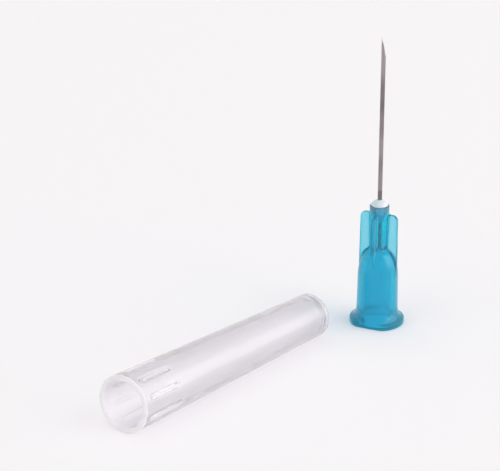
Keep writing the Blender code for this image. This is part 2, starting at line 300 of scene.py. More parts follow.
class FinishSettings(bpy.types.PropertyGroup):
    """Colours and finishes."""

    hub_skin: color("Hub", (0.01, 0.75, 0.89), "Colour of the hub's plastic at its full thickness")
    hub_shade: color("Hub Flow Marks", (0.01, 0.70, 0.85), "Deeper colour in the hub's flow marks")
    hub_thin: color("Hub Thin", (0.72, 0.88, 0.99), "Colour of the hub's plastic where it is thin")
    hub_depth: color("Hub Depth", (0.0, 0.91, 0.955), "Colour that deepens as the plastic thickens")
    hub_density: amount("Hub Density", 1300.0, "How much light the hub's plastic takes, for each metre")
    hub_clear: share("Hub Clearness", 0.86, "Share of the light that passes into the hub's plastic")
    hub_shadow: color("Hub Shadow", (0.60, 0.77, 0.83), "Colour that each wall gives the hub's shadow")
    cap_skin: color("Cap", (0.895, 0.875, 0.90), "Colour of the cap's plastic")
    cap_haze: color("Cap Haze", (0.86, 0.84, 0.865), "Colour of the haze along the cap")
    cap_clear: share("Cap Clearness", 0.86, "Share of the light that passes into the cap's plastic")
    rim_skin: color("Cap Rim", (0.97, 0.955, 0.97), "Colour of the matt face round the cap's mouth")
    rim_clear: share("Cap Rim Clearness", 0.1, "Share of the light that passes into the matt face")
    cap_shadow: color("Cap Shadow", (0.90, 0.89, 0.90), "Colour that each wall gives the cap's shadow")
    glue: color("Glue", (0.83, 0.86, 0.87), "Colour of the set glue")
    glue_clear: color("Thin Glue", (0.66, 0.80, 0.86), "Colour of the glue where it is thin")
    steel: color("Steel", (0.46, 0.41, 0.425), "Colour of the drawn steel")
    steel_dark: color("Dark Steel", (0.28, 0.245, 0.255), "Colour in the steel's draw lines")
    # Painted dark: the colour painted on the steel for reflections in its darker stretches and for the
    # shade just above the glue
    steel_painted_dark: color("Painted Dark Steel", (0.21, 0.182, 0.19), "Colour where the steel is dullest")
    ground: color("Ground Steel", (0.64, 0.61, 0.62), "Colour of the ground facets")
    # Painted shade: the bore's steel is darkened for the shade inside the tube
    bore: color("Bore", (0.10, 0.095, 0.095), "Colour inside the bore")


class StageSettings(bpy.types.PropertyGroup):
    """Floor, surroundings and camera."""

    floor: color("Floor", (0.96, 0.945, 0.96), "Colour of the floor")
    floor_size: length("Floor Size", 12.0, "Side of the square floor")
    ambient: amount("Ambient", 0.5, "Light of the surroundings")
    ambient_tint: color("Ambient Tint", (1.0, 0.985, 0.985), "Colour of the surroundings' light")
    side_view: color("Side View", (0.93, 0.92, 0.93), "Colour seen of the surroundings at the sides")
    top_view: color("Top View", (0.42, 0.42, 0.44), "Colour seen of the surroundings overhead")
    yaw: angle("Camera Yaw", 37.6417, "Direction in which the camera looks, from +X towards +Y")
    pitch: angle("Camera Pitch", 23.3906, "How far down the camera looks")
    roll: angle("Camera Roll", 0.970, "How far the camera is rolled")
    distance: length("Camera Distance", 0.83103, "Distance from the camera to its aim")
    lens: amount("Lens", 419.02, "Focal length in millimetres")
    aim: bpy.props.FloatVectorProperty(
        name="Aim",
        description="Point at the middle of the picture",
        default=(0.01325, 0.01229, 0.01297),
        subtype="TRANSLATION",
    )


class NeedleSettings(bpy.types.PropertyGroup):
    """Everything that a user can change."""

    tube: bpy.props.PointerProperty(type=TubeSettings)
    hub: bpy.props.PointerProperty(type=HubSettings)
    bead: bpy.props.PointerProperty(type=BeadSettings)
    cap: bpy.props.PointerProperty(type=CapSettings)
    finish: bpy.props.PointerProperty(type=FinishSettings)
    stage: bpy.props.PointerProperty(type=StageSettings)


def settings():
    """The scene's needle settings."""
    return bpy.context.scene.hypodermic_needle


# Profiles are lists of (radius, height)


def arc(center, radii, start, end, steps):
    """Points of an elliptical arc from the start to the end angle, in degrees."""
    points = []
    for step in range(steps + 1):
        turn = math.radians(start + (end - start) * step / steps)
        points.append((center[0] + radii[0] * math.cos(turn), center[1] + radii[1] * math.sin(turn)))
    return points


def line(start, end, steps):
    """Points of a straight run, without its first one."""
    points = []
    for step in range(1, steps + 1):
        part = step / steps
        points.append((start[0] + (end[0] - start[0]) * part, start[1] + (end[1] - start[1]) * part))
    return points


def eased(start, corner, end, steps):
    """A smooth curve from the start to the end that leans into the corner, without its first point."""
    points = []
    for step in range(1, steps + 1):
        part = step / steps
        near = (1 - part) ** 2
        middle = 2 * part * (1 - part)
        far = part**2
        points.append(tuple(near * start[i] + middle * corner[i] + far * end[i] for i in (0, 1)))
    return points


def ray_angles(repeats, half_steps):
    """Angles round a ring, closest together at the middle of each of the repeats."""
    half_span = math.pi / repeats
    steps = np.arange(half_steps) / half_steps
    rising = half_span * (NEAR_SHARE * steps + (1 - NEAR_SHARE) * steps**3)
    falling = 2 * half_span - half_span * (
        NEAR_SHARE * (1 - steps) + (1 - NEAR_SHARE) * (1 - steps) ** 3
    )
    one = np.concatenate([rising, falling])
    return np.concatenate([one + 2 * half_span * index for index in range(repeats)])


def even_angles(count):
    """Evenly spaced angles round a ring."""
    return np.arange(count) * math.tau / count


def ring(angles, radius, height):
    """One ring of points. The radius and the height are numbers, or arrays with one for each angle."""
    points = np.empty((len(angles), 3))
    points[:, 0] = np.cos(angles) * radius
    points[:, 1] = np.sin(angles) * radius
    points[:, 2] = height
    return points


def add_object(name, data):
    """An object with the data, in the scene."""
    added = bpy.data.objects.new(name, data)
    bpy.context.scene.collection.objects.link(added)
    return added


def loft(name, rings, closed=False, poles=(None, None)):
    """A mesh through the rings, which run down the outside and up the inside.

    A closed loft joins the last ring to the first. A pole is the height of a point on the axis that
    closes the first or the last ring. Returns the object and the number of each band's first face.
    """
    count = len(rings[0])
    points = [tuple(point) for each in rings for point in each]
    faces = []
    band_starts = []
    sides = [(side, (side + 1) % count) for side in range(count)]
    bands = len(rings) if closed else len(rings) - 1
    for band in range(bands):
        upper = band * count
        lower = ((band + 1) % len(rings)) * count
        band_starts.append(len(faces))
        faces += [(upper + one, lower + one, lower + two, upper + two) for one, two in sides]
    if poles[0] is not None:
        points.append((0.0, 0.0, poles[0]))
        faces += [(len(points) - 1, one, two) for one, two in sides]
    if poles[1] is not None:
        points.append((0.0, 0.0, poles[1]))
        last = (len(rings) - 1) * count
        faces += [(len(points) - 1, last + two, last + one) for one, two in sides]
    mesh = bpy.data.meshes.new(name)
    mesh.from_pydata(points, [], faces)
    return add_object(name, mesh), band_starts


def place(piece, matrix):
    """Put the piece in its place, with the place in its mesh as the frame's own nodes have it."""
    piece.data.transform(matrix)


def standing(heading=0.0):
    """The place of a piece that stands on the needle's axis, turned to the heading."""
    return Matrix.Translation(NEEDLE_AXIS) @ Matrix.Rotation(heading, 4, "Z")


def shade(piece, sharp_angle):
    """Shade the piece smooth, with sharp edges above the angle."""
    piece.data.shade_smooth()
    piece.data.set_sharp_from_angle(angle=sharp_angle)


def stand_for(piece, node):
    """Let the piece ride on the body and stand for its node, which is hidden."""
    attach(piece, BODY)
    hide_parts(node)


def smooth_step(value):
    """Rises from 0 to 1 with level ends."""
    part = np.clip(value, 0.0, 1.0)
    return part * part * (3 - 2 * part)


def smooth_min(first, second, reach):
    """The lower of two distances, with a hollow round of about the reach between them."""
    overlap = np.maximum(reach - np.abs(first - second), 0.0)
    return np.minimum(first, second) - overlap**2 / (4 * reach)


def smooth_max(first, second, reach):
    """The higher of two distances, with the edge between them rounded."""
    return -smooth_min(-first, -second, reach)


def rounded_box(across, along, half_across, half_along, edge):
    """Distance to a rectangle with rounded corners."""
    beyond_across = np.abs(across) - (half_across - edge)
    beyond_along = np.abs(along) - (half_along - edge)
    outside = np.hypot(np.maximum(beyond_across, 0.0), np.maximum(beyond_along, 0.0))
    inside = np.minimum(np.maximum(beyond_across, beyond_along), 0.0)
    return outside + inside - edge


# Steel tube


def facet_height(tube, across, along):
    """Height at which the ground facets cut the tube's wall, for a point of its section."""
    height = np.full(np.shape(across), tube.tip + tube.radius)
    facets = ((tube.bevel, 0.0), (tube.side_bevel, tube.side_turn), (tube.side_bevel, -tube.side_turn))
    for bevel, turn in facets:
        reach = (across - (tube.land - tube.radius)) * math.cos(turn) + along * math.sin(turn)
        height = np.minimum(height, tube.tip - reach / math.tan(bevel))
    return np.minimum(height, tube.tip)


def facet_ring(tube, angles, radius):
    """A ring of the radius that lies on the ground facets."""
    height = facet_height(tube, radius * np.cos(angles), radius * np.sin(angles))
    return ring(angles, radius, height)


def tube_outside(tube, angles, heel):
    """Rings from the facets' outer edge down to the chamfered foot."""
    top = facet_ring(tube, angles, tube.radius)
    low = tube.foot + tube.foot_edge
    rings = [top]
    for part in np.linspace(1.0, 0.0, TUBE_WALL_RINGS)[1:]:
        height = np.minimum(top[:, 2], heel) * part + low * (1 - part)
        rings.append(ring(angles, tube.radius, height))
    rings.append(ring(angles, tube.radius - tube.foot_edge, tube.foot))
    return rings


def tube_inside(tube, angles, heel):
    """Rings from the foot up the bore to the facets' inner edge."""
    top = facet_ring(tube, angles, tube.bore_radius)
    low = tube.foot + tube.foot_edge
    rings = [
        ring(angles, tube.bore_radius + tube.foot_edge / 2, tube.foot),
        ring(angles, tube.bore_radius, tube.foot + tube.foot_edge / 2),
    ]
    for step in range(1, TUBE_BORE_RINGS + 1):
        height = low + (np.minimum(top[:, 2], heel) - low) * step / TUBE_BORE_RINGS
        rings.append(ring(angles, tube.bore_radius, height))
    rings.append(top)
    return rings


def make_cannula():
    """The drawn tube with its bore, its three ground facets and its chamfered foot."""
    tube = settings().tube
    angles = even_angles(TUBE_SIDES)
    heel = tube.tip - BEVEL_REACH * tube.radius / math.tan(tube.bevel)
    outside = tube_outside(tube, angles, heel)
    inside = tube_inside(tube, angles, heel)
    wall = tube.radius - tube.bore_radius
    facets = [
        facet_ring(tube, angles, tube.bore_radius + wall * step / FACET_BANDS)
        for step in range(1, FACET_BANDS)
    ]
    piece, starts = loft("needle_tube", outside + inside + facets, closed=True)
    place(piece, standing(tube.heading))
    for material in (drawn_steel(), ground_steel(), bore_steel_painted_shade()):
        piece.data.materials.append(material)
    drawn, ground, bore = range(3)
    bore_band = len(outside)
    facet_band = bore_band + len(inside) - 1
    slots = np.full(len(piece.data.polygons), drawn, dtype=np.int32)
    slots[starts[bore_band] : starts[facet_band]] = bore
    slots[starts[facet_band] :] = ground
    piece.data.polygons.foreach_set("material_index", slots)
    shade(piece, SHARP_GROUND)
    mark_facet_edges(piece, starts[facet_band])
    stand_for(piece, "cannula")


def mark_facet_edges(piece, first_facet):
    """Keep the tube's walls smooth and only its facets and its foot sharp."""
    mesh = piece.data
    tube = settings().tube
    foot_limit = tube.foot + tube.foot_edge * FOOT_EDGES
    sharp = mesh.attributes["sharp_edge"]
    on_facet = {key for polygon in mesh.polygons[first_facet:] for key in polygon.edge_keys}
    for edge in mesh.edges:
        if edge.key not in on_facet and sharp.data[edge.index].value:
            low = min(mesh.vertices[index].co.z for index in edge.vertices)
            sharp.data[edge.index].value = low < foot_limit


# Hub


def shoulder_foot(hub):
    """Height at which the body starts to round in."""
    return hub.socket_depth - hub.above_foot


def hub_outside(hub):
    """The turned outer profile, from the nose's top edge down to the base."""
    top = hub.height
    foot = shoulder_foot(hub)
    waist = foot + hub.shoulder_height
    collar_foot = top - hub.collar_height
    swell = hub.body_radius - hub.waist_radius
    radii = (swell, hub.shoulder_height)
    shoulder = arc((hub.waist_radius, foot), radii, 90.0 - SHOULDER_START, 0.0, steps=26)
    join = shoulder[0]
    slope = math.tan(math.radians(SHOULDER_START)) * hub.shoulder_height / swell
    corner = (hub.waist_radius, join[1] + slope * (join[0] - hub.waist_radius))
    above = corner[1] + hub.waist_fillet
    part = (above - waist) / (collar_foot - waist)
    nose_low = (hub.waist_radius + (hub.collar_radius - hub.waist_radius) * part, above)
    edge = hub.collar_edge
    profile = arc((hub.collar_radius - edge, top - edge), (edge, edge), 90.0, 0.0, steps=5)
    profile += line(profile[-1], (hub.collar_radius, collar_foot + STEP_ABOVE), steps=8)
    step_end = (hub.collar_radius - COLLAR_STEP, collar_foot - STEP_BELOW)
    profile += eased(profile[-1], (hub.collar_radius, collar_foot), step_end, steps=5)
    profile += line(profile[-1], nose_low, steps=18)
    profile += eased(nose_low, corner, join, steps=8)
    profile += shoulder[1:]
    profile += line((hub.body_radius, foot), (hub.foot_radius, hub.flare_height), steps=18)
    spread = (hub.lug_radius - hub.foot_radius, hub.flare_height - hub.rim_height)
    profile += arc((hub.lug_radius, hub.flare_height), spread, 180.0, 180.0 + FLARE_END, steps=16)[1:]
    edge = hub.rim_round
    rim_center = (hub.lug_radius - edge, hub.rim_height - edge)
    profile += arc(rim_center, (edge, edge), FLARE_END, 0.0, steps=5)
    profile += line((hub.lug_radius, hub.rim_height - edge), (hub.lug_radius, edge), steps=3)
    profile += arc((hub.lug_radius - edge, edge), (edge, edge), 0.0, -90.0, steps=5)[1:]
    return profile


def hub_inside(hub):
    """The turned inner profile, from the socket's mouth up to the rim of the glue well."""
    edge = hub.socket_edge
    mouth = hub.socket_radius + edge
    profile = line((hub.lug_radius - hub.rim_round, 0.0), (mouth, 0.0), steps=3)
    profile += arc((mouth, edge), (edge, edge), 270.0, 180.0, steps=5)[1:]
    socket_end = hub.socket_radius - hub.socket_taper * hub.socket_depth
    profile += line(profile[-1], (socket_end, hub.socket_depth), steps=14)
    roof = shoulder_foot(hub) + hub.shoulder_height - hub.roof_wall
    dome = (socket_end - hub.tunnel_radius, roof - hub.socket_depth)
    profile += arc((hub.tunnel_radius, hub.socket_depth), dome, 0.0, ROOF_END, steps=14)[1:]
    well_foot = hub.height - hub.well_depth
    guide_foot = well_foot - hub.guide_length
    step = hub.tunnel_radius - hub.guide_radius
    tunnel_start = (hub.tunnel_radius, roof + TUNNEL_ROUND)
    profile += eased(profile[-1], (hub.tunnel_radius, roof), tunnel_start, steps=4)
    profile += line(profile[-1], (hub.tunnel_radius, guide_foot - step), steps=5)
    profile += line(profile[-1], (hub.guide_radius, guide_foot), steps=2)
    profile += line(profile[-1], (hub.guide_radius, well_foot), steps=3)
    profile += line(profile[-1], (hub.well_radius, hub.height), steps=8)
    return profile


def fin_half_thickness(hub, height):
    """Half the thickness of a fin, which rounds off along its top edge."""
    fin_top = hub.height - hub.fin_drop
    into_round = min(max(height - (fin_top - hub.fin_edge), 0.0), hub.fin_edge)
    flat = hub.fin_half - hub.fin_edge
    return flat + math.sqrt(max(hub.fin_edge**2 - into_round**2, 0.0))


def hub_rows(hub):
    """Rows down the outside, as (turned radius, height, fin reach, fin half thickness)."""
    profile = hub_outside(hub)
    foot = shoulder_foot(hub)
    fin_top = hub.height - hub.fin_drop
    corner_radius = hub.body_radius - hub.fin_draft - hub.fin_corner
    corner_height = fin_top - hub.fin_corner
    heights = np.array([height for _, height in profile])[::-1]
    radii = np.array([radius for radius, _ in profile])[::-1]
    on_nose = heights > foot
    heights, radii = heights[on_nose], radii[on_nose]
    fillet = hub.fin_fillet
    flat = hub.fin_half - hub.fin_edge

    def nose_radius(height):
        """Turned radius above the shoulder's foot."""
        return float(np.interp(height, heights, radii))

    rows = [(radius, height, 0.0, 0.0) for radius, height in profile if height > fin_top + fillet]
    for turn in np.radians(np.linspace(0.0, 90.0, FIN_FILLET_ROWS)):
        height = fin_top + fillet * (1 - math.sin(turn))
        radius = nose_radius(height)
        reach = radius + fillet * (1 - math.cos(turn))
        part = FIN_ROOT_SHARE + (1 - FIN_ROOT_SHARE) * math.sin(turn)
        rows.append((radius, height, reach, flat * part))
    start = nose_radius(fin_top) + fillet
    for step in range(1, FIN_TOP_ROWS + 1):
        part = step / FIN_TOP_ROWS
        height = fin_top - FIN_FALL * part
        rows.append((nose_radius(height), height, start + (corner_radius - start) * part, flat))
    for turn in np.radians(np.linspace(FIN_CORNER_START, 0.0, FIN_CORNER_ROWS)):
        height = corner_height + hub.fin_corner * math.sin(turn) - FIN_FALL
        reach = corner_radius + hub.fin_corner * math.cos(turn)
        rows.append((nose_radius(height), height, reach, fin_half_thickness(hub, height)))
    for radius, height in profile:
        if height >= rows[-1][1]:
            continue
        if height > foot:
            part = (height - foot) / (corner_height - foot)
            rows.append((radius, height, hub.body_radius - hub.fin_draft * part, hub.fin_half))
        else:
            rows.append((radius, height, 0.0, 0.0))
    return rows


def hub_radii(hub, rows, angles):
    """Outer radius for each row and angle: a round with four fins, between the flats of the flange."""
    radius, _, reach, half = (np.array(column)[:, None] for column in zip(*rows))
    fillet = np.clip(reach - radius, MICRON, hub.fin_fillet)
    edge = np.minimum(hub.fin_edge, half)
    cosine, sine = np.cos(angles)[None, :], np.sin(angles)[None, :]
    low = np.zeros((len(rows), len(angles)))
    high = np.full_like(low, 2 * hub.lug_radius)
    for _ in range(BISECTIONS):
        middle = (low + high) / 2
        across, along = middle * cosine, middle * sine
        webs = np.minimum(
            rounded_box(across, along, reach, half, edge),
            rounded_box(along, across, reach, half, edge),
        )
        form = smooth_min(middle - radius, webs, fillet)
        form = smooth_max(form, np.abs(along) - hub.lug_half_width, hub.lug_corner)
        outside = form > 0
        high = np.where(outside, middle, high)
        low = np.where(outside, low, middle)
    return (low + high) / 2


def note_thin_walls(piece, hub, rows, radii):
    """Store how thin the plastic is at each point, from 0 for a full wall to 1 for the thinnest."""
    inside = [(height, radius) for radius, height in hub_inside(hub) if height > hub.socket_edge / 2]
    inner_heights, inner_radii = (np.array(column) for column in zip(*inside))
    turned, heights, reach, _ = (np.array(column) for column in zip(*rows))
    wall = turned - np.interp(heights, inner_heights, inner_radii)
    by_wall = smooth_step((FULL_WALL - wall) / (FULL_WALL - THIN_WALL))[:, None]
    out_of_nose = smooth_step((radii - turned[:, None]) / (FULL_WALL - THIN_WALL))
    off_edge = smooth_step((reach[:, None] - radii) / FIN_MARGIN)
    outside = np.maximum(by_wall, FIN_THINNESS * out_of_nose * off_edge).ravel()
    values = np.zeros(len(piece.data.vertices))
    values[: len(outside)] = outside
    piece.data.attributes.new("thin_wall", "FLOAT", "POINT").data.foreach_set("value", values)


def make_hub():
    """The moulded hub with its nose, fins, shoulder, flange, socket, tunnel and glue well."""
    hub = settings().hub
    angles = ray_angles(repeats=4, half_steps=HUB_HALF_STEPS)
    rows = hub_rows(hub)
    radii = hub_radii(hub, rows, angles)
    rings = [ring(angles, each, row[1]) for row, each in zip(rows, radii)]
    for radius, height in hub_inside(hub):
        rings.append(ring(angles, radius, height))
    piece, _ = loft("moulded_hub", rings, closed=True)
    note_thin_walls(piece, hub, rows, radii)
    place(piece, standing(hub.heading))
    piece.data.materials.append(tinted_plastic())
    shade(piece, SHARP_MOULDED)
    stand_for(piece, "hub")


# Glue


def bead_profile(bead, hub, tube):
    """The dome, its creep up the tube and the filling of the well, from the tube outwards and back."""
    hole = tube.radius + bead.tube_gap
    seat = hub.height + bead.gap
    crown = seat + bead.height
    top = (hole + (bead.radius - hole) * bead.creep_share, crown - bead.creep)
    profile = [(hole, crown)]
    profile += eased(profile[-1], (hole + CREEP_ROUND, crown - bead.creep * CREEP_LEAN), top, steps=6)
    edge = (bead.radius, seat + bead.edge_height)
    across = (top[0] + edge[0]) / 2
    up = (top[1] + edge[1]) / 2
    corner = (across + (edge[0] - across) * bead.fullness, up + (top[1] - up) * bead.fullness)
    profile += eased(top, corner, edge, steps=18)
    lip = bead.edge_height * LIP_SHARE
    profile += eased(profile[-1], (bead.radius, seat), (bead.radius - lip, seat), steps=5)
    well_foot = hub.height - hub.well_depth + 2 * bead.gap
    part = (well_foot - (hub.height - hub.well_depth)) / hub.well_depth
    low_radius = hub.guide_radius + (hub.well_radius - hub.guide_radius) * part - bead.gap
    profile += line(profile[-1], (hub.well_radius - bead.gap, seat), steps=2)
    profile += line(profile[-1], (max(low_radius, hole + bead.gap / 2), well_foot), steps=10)
    profile += line(profile[-1], (hole, well_foot), steps=1)
    profile += line(profile[-1], (hole, crown), steps=8)[:-1]
    return profile


def make_adhesive_bead():
    """The glue, a little uneven because it set from a drop."""
    needle = settings()
    bead, hub, tube = needle.bead, needle.hub, needle.tube
    angles = even_angles(BEAD_SIDES)
    seat = hub.height + bead.gap
    swell = sum(strength * np.sin(times * angles + turn) for times, strength, turn in DOME_WAVES)
    rings = []
    for radius, height in bead_profile(bead, hub, tube):
        above = min(max((height - seat) / bead.height, 0.0), 1.0)
        outward = (radius - tube.radius) / (bead.radius - tube.radius)
        uneven = bead.unevenness * outward * above
        reach = radius * (1 - uneven * DOME_INWARD * (1 + swell))
        drop = bead.height * uneven * (1 + DOME_DOWNWARD * swell)
        rings.append(ring(angles, reach, height - drop))
    piece, _ = loft("set_glue", rings, closed=True)
    place(piece, standing())
    piece.data.materials.append(glue())
    shade(piece, SHARP_MOULDED)
    stand_for(piece, "adhesive_bead")


# Cap


def cap_taper(cap):
    """How much the cap's radius falls for each metre of its length."""
    return (cap.mouth_radius - cap.end_radius) / cap.length


def cap_radius(cap, distance):
    """Outer radius of the cap at a distance from its mouth."""
    return cap.mouth_radius - cap_taper(cap) * distance


def cap_outside(cap):
    """From the gate mark in the closed end's recess, down the outside to the mouth."""
    floor = cap.length - cap.recess_depth
    crest = floor + cap.gate_height
    soft = CAP_ROUND
    profile = [(GATE_MIDDLE, crest), (cap.gate_radius - soft, crest)]
    profile += eased(profile[-1], (cap.gate_radius, crest), (cap.gate_radius, crest - soft), steps=3)
    profile += eased(profile[-1], (cap.gate_radius, floor), (cap.gate_radius + soft, floor), steps=3)
    profile += line(profile[-1], (cap.recess_radius - soft, floor), steps=6)
    rim = (cap.recess_radius + cap.recess_depth / 2, cap.length)
    wall_start = (cap.recess_radius + soft / 2, floor + soft)
    profile += eased(profile[-1], (cap.recess_radius, floor), wall_start, steps=3)
    profile += line(profile[-1], (rim[0] - soft / 2, cap.length - soft), steps=3)
    profile += eased(profile[-1], rim, (rim[0] + soft, cap.length), steps=3)
    low = cap.length - cap.end_round
    center = (cap_radius(cap, low) - cap.end_round, low)
    profile += line(profile[-1], (center[0], cap.length), steps=2)
    profile += arc(center, (cap.end_round, cap.end_round), 90.0, 0.0, steps=12)[1:]
    profile += line(profile[-1], (cap_radius(cap, cap.mouth_edge), cap.mouth_edge), steps=44)
    mouth_center = (cap.mouth_radius - cap.mouth_edge, cap.mouth_edge)
    profile += arc(mouth_center, (cap.mouth_edge, cap.mouth_edge), 0.0, -90.0, steps=CAP_RIM_STEPS)[1:]
    return profile


def cap_inside(cap):
    """From the mouth up the bore to the inner end."""
    lead = cap.lead_in
    bore_end = cap.length - cap.end_thickness
    bore_radius = cap_radius(cap, bore_end) - cap.wall
    profile = [(cap.mouth_radius - cap.wall + lead, 0.0)]
    start = (cap_radius(cap, lead) - cap.wall, lead)
    profile += eased(profile[-1], (start[0], LEAD_ROUND), start, steps=CAP_RIM_STEPS)
    for low, high, steps in (
        (lead, cap.rib_foot, 3),
        (cap.rib_foot, cap.rib_foot + cap.rib_ramp, 8),
        (cap.rib_foot + cap.rib_ramp, cap.rib_top - cap.rib_ramp, 10),
        (cap.rib_top - cap.rib_ramp, cap.rib_top, 8),
        (cap.rib_top, bore_end - cap.end_round, 32),
    ):
        ends = [(cap_radius(cap, distance) - cap.wall, distance) for distance in (low, high)]
        profile += line(*ends, steps)
    center = (bore_radius - cap.end_round, bore_end - cap.end_round)
    profile += arc(center, (cap.end_round, cap.end_round), 0.0, 90.0, steps=8)[1:]
    profile += line(profile[-1], (END_MIDDLE, bore_end), steps=4)
    return profile


def bore_radii(cap, radius, distance, angles):
    """Radius of the bore round one ring, with the grip ribs standing in from the wall."""
    along = min(distance - cap.rib_foot, cap.rib_top - distance) / cap.rib_ramp
    depth = (radius - cap.rib_crest) * smooth_step(along)
    spacing = math.tau / cap.ribs
    from_rib = np.abs((angles + spacing / 2) % spacing - spacing / 2) * cap.rib_crest
    edge = cap.rib_half * cap.rib_softness
    across = smooth_step((cap.rib_half + edge - from_rib) / (2 * edge))
    return radius - max(depth, 0.0) * across


def make_cap():
    """The clear cap, lying on its side with its whole length on the table."""
    cap = settings().cap
    angles = ray_angles(cap.ribs, CAP_HALF_STEPS)
    outside = [ring(angles, radius, distance) for radius, distance in cap_outside(cap)]
    inside = [
        ring(angles, bore_radii(cap, radius, distance, angles), distance)
        for radius, distance in cap_inside(cap)
    ]
    poles = (cap.length - cap.recess_depth + cap.gate_height, cap.length - cap.end_thickness)
    piece, starts = loft("clear_cap", outside + inside, poles=poles)
    dip = math.atan(cap_taper(cap))
    mouth_distance = cap.end_distance + cap.length * math.cos(dip)
    offset = Vector((-mouth_distance, cap.side_offset, cap.mouth_radius * math.cos(dip)))
    turn = Matrix.Rotation(math.pi / 2 + dip, 4, "Y") @ Matrix.Rotation(math.pi / cap.ribs, 4, "Z")
    place(piece, Matrix.Translation(NEEDLE_AXIS + offset) @ turn)
    for material in (
        cap_wall_plastic("cap_clear_plastic", roughness=0.16),
        cap_rim_plastic(),
        cap_wall_plastic("cap_matt_bore", roughness=0.45),
    ):
        piece.data.materials.append(material)
    wall, rim, bore = range(3)
    mouth = len(outside) - 1
    rim_start = starts[mouth - CAP_RIM_STEPS]
    bore_start = starts[mouth + CAP_RIM_STEPS]
    bore_end = starts[-1] + len(angles)
    slots = np.full(len(piece.data.polygons), wall, dtype=np.int32)
    slots[rim_start:bore_start] = rim
    slots[bore_start:bore_end] = bore
    slots[-len(angles) :] = bore
    piece.data.polygons.foreach_set("material_index", slots)
    shade(piece, SHARP_MOULDED)
    stand_for(piece, "cap")


# Shader nodes


def feed(tree, socket, value):
    """Give an input socket a value, or link another node's output to it."""
    if isinstance(value, bpy.types.NodeSocket):
        tree.links.new(value, socket)
    else:
        socket.default_value = value


def new_node(tree, kind, inputs=None, **options):
    """Add a node with its options, and feed its inputs."""
    node = tree.nodes.new(kind)
    for name, value in options.items():
        setattr(node, name, value)
    for name, value in (inputs or {}).items():
        feed(tree, node.inputs[name], value)
    return node


def noise(tree, inputs, **options):
    """The output of a noise texture."""
    return new_node(tree, "ShaderNodeTexNoise", inputs, **options).outputs["Fac"]


def ranged(tree, inputs, **options):
    """The output of a Map Range node."""
    return new_node(tree, "ShaderNodeMapRange", inputs, **options).outputs["Result"]


def reckoned(tree, operation, *values, clamp=False):
    """The output of a Math node."""
    inputs = dict(enumerate(values))
    node = new_node(tree, "ShaderNodeMath", inputs, operation=operation, use_clamp=clamp)
    return node.outputs["Value"]


def stretched(tree, place, scale):
    """Coordinates multiplied by a scale."""
    node = new_node(tree, "ShaderNodeVectorMath", {0: place, 1: scale}, operation="MULTIPLY")
    return node.outputs["Vector"]


def mixed(tree, mask, first, second):
    """Two colours mixed by the mask. Each is a colour, or the output of another mix."""
    inputs = {"Factor": mask}
    for label, tone in (("A", first), ("B", second)):
        inputs[label] = tone if isinstance(tone, bpy.types.NodeSocket) else (*tone, 1.0)
    return new_node(tree, "ShaderNodeMix", inputs, data_type="RGBA").outputs["Result"]


def shaders_mixed(tree, mask, first, second):
    """The first shader where the mask is 0, and the second where it is 1."""
    node = new_node(tree, "ShaderNodeMixShader", {"Fac": mask, 1: first, 2: second})
    return node.outputs["Shader"]


def new_group(name, defaults):
    """A shader node group with an input for each of the defaults, which are numbers and vectors.

    Returns its tree and the sockets that its inputs come in by.
    """
    tree = bpy.data.node_groups.new(name, "ShaderNodeTree")
    for label, default in defaults.items():
        kind = "NodeSocketFloat" if isinstance(default, float) else "NodeSocketVector"
        socket = tree.interface.new_socket(label, in_out="INPUT", socket_type=kind)
        socket.default_value = default
    return tree, tree.nodes.new("NodeGroupInput").outputs


def put_out(tree, outputs):
    """Let a node group put out each of the outputs by its name."""
    for label in outputs:
        tree.interface.new_socket(label, in_out="OUTPUT", socket_type="NodeSocketFloat")
    new_node(tree, "NodeGroupOutput", outputs)


def build_moulded_skin(name):
    """Fine mould texture, slow flow marks and the roughness that goes with them."""
    defaults = {
        "Vector": (0.0, 0.0, 0.0),
        "Roughness": 0.2,
        "Spread": 0.05,
        "Grain Scale": 4000.0,
        "Flow Scale": 400.0,
        "Grain Share": 0.3,
    }
    tree, given = new_group(name, defaults)
    place = given["Vector"]
    grain_look = {"Detail": 2.0, "Roughness": 0.5}
    flow_look = {"Detail": 3.0, "Roughness": 0.45, "Distortion": 0.6}
    grain = noise(tree, {"Vector": place, "Scale": given["Grain Scale"], **grain_look})
    flow = noise(tree, {"Vector": place, "Scale": given["Flow Scale"], **flow_look})
    flow_mask = ranged(tree, {"Value": flow, "From Min": 0.35, "From Max": 0.65})
    height = new_node(tree, "ShaderNodeMix", {"Factor": given["Grain Share"], "A": flow, "B": grain})
    centred = reckoned(tree, "SUBTRACT", flow_mask, 0.5)
    scaled = reckoned(tree, "MULTIPLY", centred, given["Spread"])
    roughness = reckoned(tree, "ADD", scaled, given["Roughness"], clamp=True)
    put_out(tree, {"Roughness": roughness, "Height": height.outputs["Result"], "Flow": flow_mask})
    return tree


